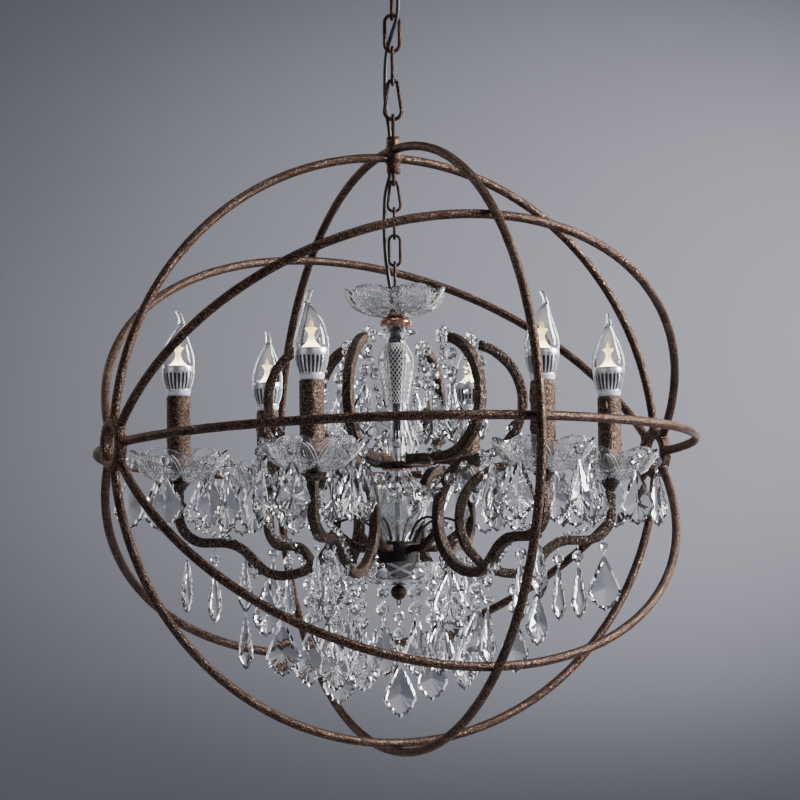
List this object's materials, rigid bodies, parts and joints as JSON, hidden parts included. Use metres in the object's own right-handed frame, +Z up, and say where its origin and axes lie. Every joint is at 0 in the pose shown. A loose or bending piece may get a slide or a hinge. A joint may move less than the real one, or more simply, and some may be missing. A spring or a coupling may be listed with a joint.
{
  "type": "orb chandelier",
  "caption": "Candle chandelier with scrolled arms, glass dishes and crystal drops, hung by a chain inside an open cage of crossing metal rings that hangs from a ceiling canopy.",
  "frame": {"origin": "centre of the crossbar's two slotted holes, on the ceiling", "axes": "+Z up, so everything hangs below the origin; +X through the two side hubs of the cage"},
  "size_m": [0.6838, 0.7, 0.9337],
  "materials": {
    "rust_iron": "rust brown, hammered and speckled",
    "zinc_steel": "zinc plated",
    "cut_glass": "clear, cut and polished",
    "crystal": "clear, faceted",
    "copper": "copper colour, polished",
    "cable_black": "smooth PVC",
    "holder_plastic": "moulded",
    "bulb_glass": "clear flame glass on a finned metal base"
  },
  "bodies": {
    "ceiling_mount": {"canopy": "rust_iron", "crossbar": "zinc_steel", "nipple": "zinc_steel", "nipple_nut": "zinc_steel", "canopy_loop": "rust_iron", "upper_cable": "cable_black"},
    "upper_chain_1": {"upper_link_1": "rust_iron"},
    "upper_chain_2": {"upper_link_2": "rust_iron"},
    "upper_chain_3": {"upper_link_3": "rust_iron"},
    "upper_chain_4": {"upper_link_4": "rust_iron"},
    "cage": {"hub_tube": "rust_iron", "hub_upper_loop": "rust_iron", "hub_lower_loop": "rust_iron", "vertical_ring": "rust_iron", "cross_ring": "rust_iron", "level_ring": "rust_iron", "tilted_ring_a": "rust_iron", "tilted_ring_b": "rust_iron", "side_hub_left": "rust_iron", "side_hub_right": "rust_iron", "lower_cable": "cable_black"},
    "inner_chain_1": {"inner_link_1": "rust_iron"},
    "inner_chain_2": {"inner_link_2": "rust_iron"},
    "inner_chain_3": {"inner_link_3": "rust_iron"},
    "inner_chain_4": {"inner_link_4": "rust_iron"},
    "chandelier": {"column_loop": "rust_iron", "centre_rod": "zinc_steel", "top_bowl": "cut_glass", "copper_collar": "copper", "upper_vase": "cut_glass", "copper_discs": "copper", "scroll_plate": "rust_iron", "lower_vase": "cut_glass", "arm_hub": "rust_iron", "bottom_dish": "cut_glass", "finial": "rust_iron", "scroll_arm_1": "rust_iron", "scroll_arm_2": "rust_iron", "scroll_arm_3": "rust_iron", "scroll_arm_4": "rust_iron", "scroll_arm_5": "rust_iron", "scroll_arm_6": "rust_iron", "upper_scrolls": "rust_iron", "candle_cups": "rust_iron", "bobeches": "cut_glass", "candle_sleeves": "rust_iron", "lamp_holders": "holder_plastic", "bobeche_drops": "crystal", "arm_drops": "crystal", "skirt_drops": "crystal", "scroll_drops": "crystal", "bead_garlands": "crystal", "arm_wires": "cable_black"},
    "centre_drop": {"centre_strand": "crystal"},
    "bulb_1": {"bulb_1": "bulb_glass"},
    "bulb_2": {"bulb_2": "bulb_glass"},
    "bulb_3": {"bulb_3": "bulb_glass"},
    "bulb_4": {"bulb_4": "bulb_glass"},
    "bulb_5": {"bulb_5": "bulb_glass"},
    "bulb_6": {"bulb_6": "bulb_glass"}
  },
  "joints": [
    {"name": "chain_top_swing", "type": "hinge", "parent": "ceiling_mount", "child": "upper_chain_1", "pos_m": [0, 0, -0.0643], "axis": [0.9063, -0.4226, 0], "range_deg": [-8, 8], "deforming": ["upper_cable"]},
    {"name": "upper_chain_1_swing", "type": "hinge", "parent": "upper_chain_1", "child": "upper_chain_2", "pos_m": [0, 0, -0.1016], "axis": [0.4226, 0.9063, 0], "range_deg": [-8, 8], "deforming": ["upper_cable"]},
    {"name": "upper_chain_2_swing", "type": "hinge", "parent": "upper_chain_2", "child": "upper_chain_3", "pos_m": [0, 0, -0.1389], "axis": [0.9063, -0.4226, 0], "range_deg": [-8, 8], "deforming": ["upper_cable"]},
    {"name": "upper_chain_3_swing", "type": "hinge", "parent": "upper_chain_3", "child": "upper_chain_4", "pos_m": [0, 0, -0.1762], "axis": [0.4226, 0.9063, 0], "range_deg": [-8, 8], "deforming": ["upper_cable"]},
    {"name": "cage_swing", "type": "hinge", "parent": "upper_chain_4", "child": "cage", "pos_m": [0, 0, -0.2165], "axis": [0.9063, -0.4226, 0], "range_deg": [-8, 8], "deforming": ["upper_cable"]},
    {"name": "inner_chain_top_swing", "type": "hinge", "parent": "cage", "child": "inner_chain_1", "pos_m": [0, 0, -0.2908], "axis": [0.4226, 0.9063, 0], "range_deg": [-0.7, 0.7], "deforming": ["lower_cable"]},
    {"name": "inner_chain_1_swing", "type": "hinge", "parent": "inner_chain_1", "child": "inner_chain_2", "pos_m": [0, 0, -0.3213], "axis": [0.9063, -0.4226, 0], "range_deg": [-0.7, 0.7], "deforming": ["lower_cable"]},
    {"name": "inner_chain_2_swing", "type": "hinge", "parent": "inner_chain_2", "child": "inner_chain_3", "pos_m": [0, 0, -0.3522], "axis": [0.4226, 0.9063, 0], "range_deg": [-0.7, 0.7], "deforming": ["lower_cable"]},
    {"name": "inner_chain_3_swing", "type": "hinge", "parent": "inner_chain_3", "child": "inner_chain_4", "pos_m": [0, 0, -0.3831], "axis": [0.9063, -0.4226, 0], "range_deg": [-0.7, 0.7], "deforming": ["lower_cable"]},
    {"name": "chandelier_swing", "type": "hinge", "parent": "inner_chain_4", "child": "chandelier", "pos_m": [0, 0, -0.411], "axis": [0.4226, 0.9063, 0], "range_deg": [-0.7, 0.7], "deforming": ["lower_cable"]},
    {"name": "bulb_1_screw", "type": "hinge", "parent": "chandelier", "child": "bulb_1", "pos_m": [-0.23551, 0.06753, -0.5299], "axis": [0, 0, 1], "range_deg": [0, 1080]},
    {"name": "bulb_2_screw", "type": "hinge", "parent": "chandelier", "child": "bulb_2", "pos_m": [-0.17624, -0.17019, -0.5299], "axis": [0, 0, 1], "range_deg": [0, 1080]},
    {"name": "bulb_3_screw", "type": "hinge", "parent": "chandelier", "child": "bulb_3", "pos_m": [0.05927, -0.23772, -0.5299], "axis": [0, 0, 1], "range_deg": [0, 1080]},
    {"name": "bulb_4_screw", "type": "hinge", "parent": "chandelier", "child": "bulb_4", "pos_m": [0.23551, -0.06753, -0.5299], "axis": [0, 0, 1], "range_deg": [0, 1080]},
    {"name": "bulb_5_screw", "type": "hinge", "parent": "chandelier", "child": "bulb_5", "pos_m": [0.17624, 0.17019, -0.5299], "axis": [0, 0, 1], "range_deg": [0, 1080]},
    {"name": "bulb_6_screw", "type": "hinge", "parent": "chandelier", "child": "bulb_6", "pos_m": [-0.05927, 0.23772, -0.5299], "axis": [0, 0, 1], "range_deg": [0, 1080]},
    {"name": "centre_drop_swing", "type": "hinge", "parent": "chandelier", "child": "centre_drop", "pos_m": [0, 0, -0.7645], "axis": [0.9063, -0.4226, 0], "range_deg": [-12, 12]}
  ]
}
